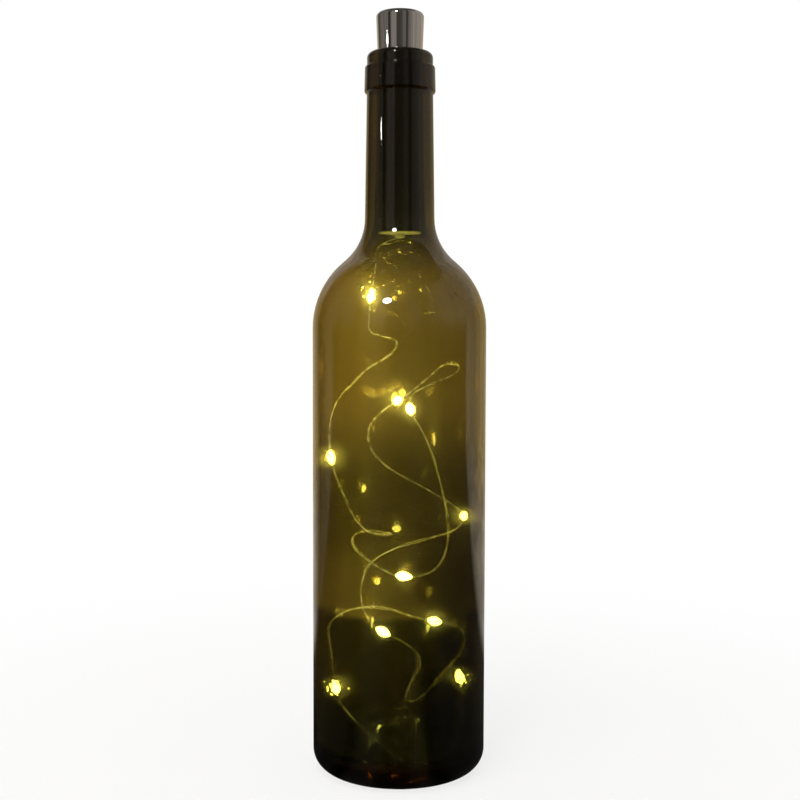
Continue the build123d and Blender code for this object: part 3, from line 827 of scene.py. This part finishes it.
def lamp_bead(index):
    """Drop of resin round one lamp, fuller to one side and drawn out along the wire."""
    wander = random.Random(70 + index)
    lean = wander.uniform(-0.25, 0.25)
    swell = wander.uniform(0.94, 1.0)
    outline = [Vector((0, -drop_half_length))]
    for step in range(bead_rings + 1):
        share = -1 + 2 * step / bead_rings
        body = math.cos(share * math.pi / 2) ** bead_fullness
        full = 1 + lean * share * (1 - share * share)
        radius = drop_neck_radius + (drop_radius - drop_neck_radius) * body * full * swell
        outline.append(Vector((radius, share * drop_half_length)))
    outline.append(Vector((0, drop_half_length)))
    shift = wander.uniform(0, 90)

    def uneven(spot, radial, ring_index):
        bulge = noise.noise(Vector((radial.x, radial.y, shift + spot.z / drop_half_length)))
        return spot + radial * bead_unevenness * bulge

    bead = lathe(f"lamp_bead_{index + 1}", outline, bead_sides, uneven)
    turn = lamp_axis(index).to_track_quat("Z", "X").to_matrix().to_4x4()
    bead.data.transform(Matrix.Translation(place_of(lamp_places[index])) @ turn)
    return bead


for index, body in enumerate(lamp_bodies):
    bead = lamp_bead(index)
    wear(bead, finish_of["resin"])
    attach(bead, body)
    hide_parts(f"lamp_drop_{index + 1}")

held_between = {0: ("stopper", "lamp_1"), 1: ("lamp_1", "lamp_2"), 2: ("lamp_2", "lower_string")}
for index in range(len(lamp_places)):
    line = line_through(stretch_points(index))
    strands = string_strands(index, line)
    wear(strands, finish_of["copper_wire"])
    if index in held_between:
        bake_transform(strands)
    else:
        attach(strands, "lower_string")
    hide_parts(f"string_wire_{index + 1}")


# Studio
def seen_directly(tree):
    """One for what the camera, a reflection or the glass looks at, nothing for what light falls from."""
    path = tree.nodes.new("ShaderNodeLightPath")
    total = None
    for ray in ("Is Camera Ray", "Is Glossy Ray", "Is Transmission Ray"):
        if total is None:
            total = path.outputs[ray]
            continue
        either = tree.nodes.new("ShaderNodeMath")
        either.operation = "MAXIMUM"
        tree.links.new(total, either.inputs[0])
        tree.links.new(path.outputs[ray], either.inputs[1])
        total = either.outputs[0]
    return total


def white_world():
    world = bpy.data.worlds.new("studio")
    bpy.context.scene.world = world
    world.use_nodes = True
    tree = world.node_tree
    plain = tree.nodes["Background"]
    plain.inputs["Color"].default_value = world_color
    plain.inputs["Strength"].default_value = world_level
    white = tree.nodes.new("ShaderNodeBackground")
    white.inputs["Color"].default_value = (1, 1, 1, 1)
    white.inputs["Strength"].default_value = 1.0
    mix = tree.nodes.new("ShaderNodeMixShader")
    tree.links.new(seen_directly(tree), mix.inputs["Fac"])
    tree.links.new(plain.outputs[0], mix.inputs[1])
    tree.links.new(white.outputs[0], mix.inputs[2])
    tree.links.new(mix.outputs[0], tree.nodes["World Output"].inputs["Surface"])


def pale_floor():
    """Round white floor: it takes the object's shadow near it and fades to the white behind."""
    vertices = [(0, 0, 0)]
    for side in range(floor_sides):
        angle = 2 * math.pi * side / floor_sides
        vertices.append((floor_radius * math.cos(angle), floor_radius * math.sin(angle), 0))
    faces = [[0, 1 + side, 1 + (side + 1) % floor_sides] for side in range(floor_sides)]
    floor = shell("studio_floor", vertices, faces)
    made, tree, shader = new_material("floor_white")
    shader.inputs["Base Color"].default_value = floor_color
    shader.inputs["Roughness"].default_value = floor_roughness
    place = tree.nodes.new("ShaderNodeTexCoord")
    distance = tree.nodes.new("ShaderNodeVectorMath")
    distance.operation = "LENGTH"
    tree.links.new(place.outputs["Object"], distance.inputs[0])
    fade = tree.nodes.new("ShaderNodeMapRange")
    fade.interpolation_type = "SMOOTHSTEP"
    fade.inputs["From Max"].default_value = floor_plain_radius
    fade.inputs["To Min"].default_value = 1 - floor_shade_share
    tree.links.new(distance.outputs["Value"], fade.inputs["Value"])
    both = tree.nodes.new("ShaderNodeMath")
    both.operation = "MULTIPLY"
    tree.links.new(fade.outputs["Result"], both.inputs[0])
    tree.links.new(seen_directly(tree), both.inputs[1])
    glow = tree.nodes.new("ShaderNodeEmission")
    glow.inputs["Strength"].default_value = 1.0
    mix = tree.nodes.new("ShaderNodeMixShader")
    tree.links.new(both.outputs[0], mix.inputs["Fac"])
    tree.links.new(shader.outputs[0], mix.inputs[1])
    tree.links.new(glow.outputs[0], mix.inputs[2])
    tree.links.new(mix.outputs[0], tree.nodes["Material Output"].inputs["Surface"])
    wear(floor, made)


def area_light(name, place, target, width, height, power, in_reflections, spread):
    data = bpy.data.lights.new(name, "AREA")
    data.shape = "ELLIPSE"
    data.spread = math.radians(spread)
    data.size = width
    data.size_y = height
    data.energy = power
    data.color = lamp_tint
    lamp = bpy.data.objects.new(name, data)
    bpy.context.scene.collection.objects.link(lamp)
    lamp.location = place
    lamp.rotation_euler = (Vector(target) - Vector(place)).to_track_quat("-Z", "Y").to_euler()
    lamp.visible_camera = False
    lamp.visible_transmission = False
    lamp.visible_glossy = in_reflections


def room_screen(name, inner, outer, tone_of):
    """Studio screen all round, between two (radius, height) rims. Only reflections show it: it gives
    glass and plating the darker room that they stand in."""
    vertices = []
    for step in range(screen_sides + 1):
        angle = 2 * math.pi * step / screen_sides
        for radius, height in (inner, outer):
            vertices.append((math.sin(angle) * radius, math.cos(angle) * radius, height))
    faces = [[2 * step, 2 * step + 2, 2 * step + 3, 2 * step + 1] for step in range(screen_sides)]
    screen = shell(name, vertices, faces)
    made = bpy.data.materials.new(name)
    made.use_nodes = True
    tree = made.node_tree
    tree.nodes.remove(tree.nodes["Principled BSDF"])
    glow = tree.nodes.new("ShaderNodeEmission")
    place = tree.nodes.new("ShaderNodeTexCoord")
    parts = tree.nodes.new("ShaderNodeSeparateXYZ")
    tree.links.new(place.outputs["Object"], parts.inputs["Vector"])
    warm = smooth_share(tree, parts.outputs["Y"], 0, screen_warm_full)
    low_down = smooth_share(tree, parts.outputs["Z"], screen_plain_from, screen_warm_up_to)
    warm = combined(tree, "MULTIPLY", warm, low_down)
    tree.links.new(mixed_color(tree, warm, screen_front_color, screen_back_color), glow.inputs["Color"])
    tree.links.new(tone_of(tree), glow.inputs["Strength"])
    tree.links.new(glow.outputs[0], tree.nodes["Material Output"].inputs["Surface"])
    wear(screen, made)
    screen.visible_camera = False
    screen.visible_diffuse = False
    screen.visible_transmission = False
    screen.visible_shadow = False


def plain_tone(tree):
    grain = spread_values(tree, noise_node(tree, ceiling_grain_scale), *grain_range)
    return combined(tree, "MULTIPLY", grain, ceiling_level)


def panel_tone(tree):
    """Light and dark upright panels, dark near the floor in front and light down to it behind."""
    place = tree.nodes.new("ShaderNodeTexCoord")
    around = tree.nodes.new("ShaderNodeTexGradient")
    around.gradient_type = "RADIAL"
    tree.links.new(place.outputs["Object"], around.inputs["Vector"])
    ramp = tree.nodes.new("ShaderNodeValToRGB")
    tree.links.new(around.outputs["Fac"], ramp.inputs["Fac"])
    stops = sorted(((direction / 360 + 0.25) % 1, level) for direction, level in screen_panels)
    elements = ramp.color_ramp.elements
    elements[0].position = 0
    elements[0].color = (stops[0][1],) * 3 + (1,)
    elements[1].position = 1
    elements[1].color = (stops[-1][1],) * 3 + (1,)
    for position, level in stops:
        elements.new(position).color = (level, level, level, 1)
    parts = tree.nodes.new("ShaderNodeSeparateXYZ")
    tree.links.new(place.outputs["Object"], parts.inputs["Vector"])
    high = smooth_share(tree, parts.outputs["Z"], screen_dark_to, screen_light_from)
    behind = smooth_share(tree, parts.outputs["Y"], screen_back_from, screen_back_full)
    share = combined(tree, "MAXIMUM", combined(tree, "MAXIMUM", high, behind), screen_least_share)
    grain = spread_values(tree, noise_node(tree, panel_grain_scale, 3.0, panel_grain_stretch), *grain_range)
    level = combined(tree, "MULTIPLY", ramp.outputs["Color"], share)
    return combined(tree, "MULTIPLY", level, grain)


def studio_camera():
    data = bpy.data.cameras.new("studio_camera")
    data.lens = camera_lens
    data.sensor_width = sensor_width
    camera = bpy.data.objects.new("studio_camera", data)
    bpy.context.scene.collection.objects.link(camera)
    camera.location = camera_place
    pitch = Matrix.Rotation(math.radians(camera_pitch), 4, "X")
    roll = Matrix.Rotation(math.radians(camera_roll), 4, "Z")
    camera.rotation_euler = (pitch @ roll).to_euler()
    bpy.context.scene.camera = camera


bpy.context.scene.view_settings.view_transform = "Standard"
white_world()
pale_floor()
room_screen("wall_screen", (screen_radius, 0), (screen_radius, screen_top), panel_tone)
room_screen("ceiling_screen", (screen_radius, screen_top), (0, screen_top), plain_tone)
room_screen("apron_screen", (apron_inner_radius, apron_height), (screen_radius, apron_height), panel_tone)
for light in studio_lights:
    area_light(*light)
studio_camera()
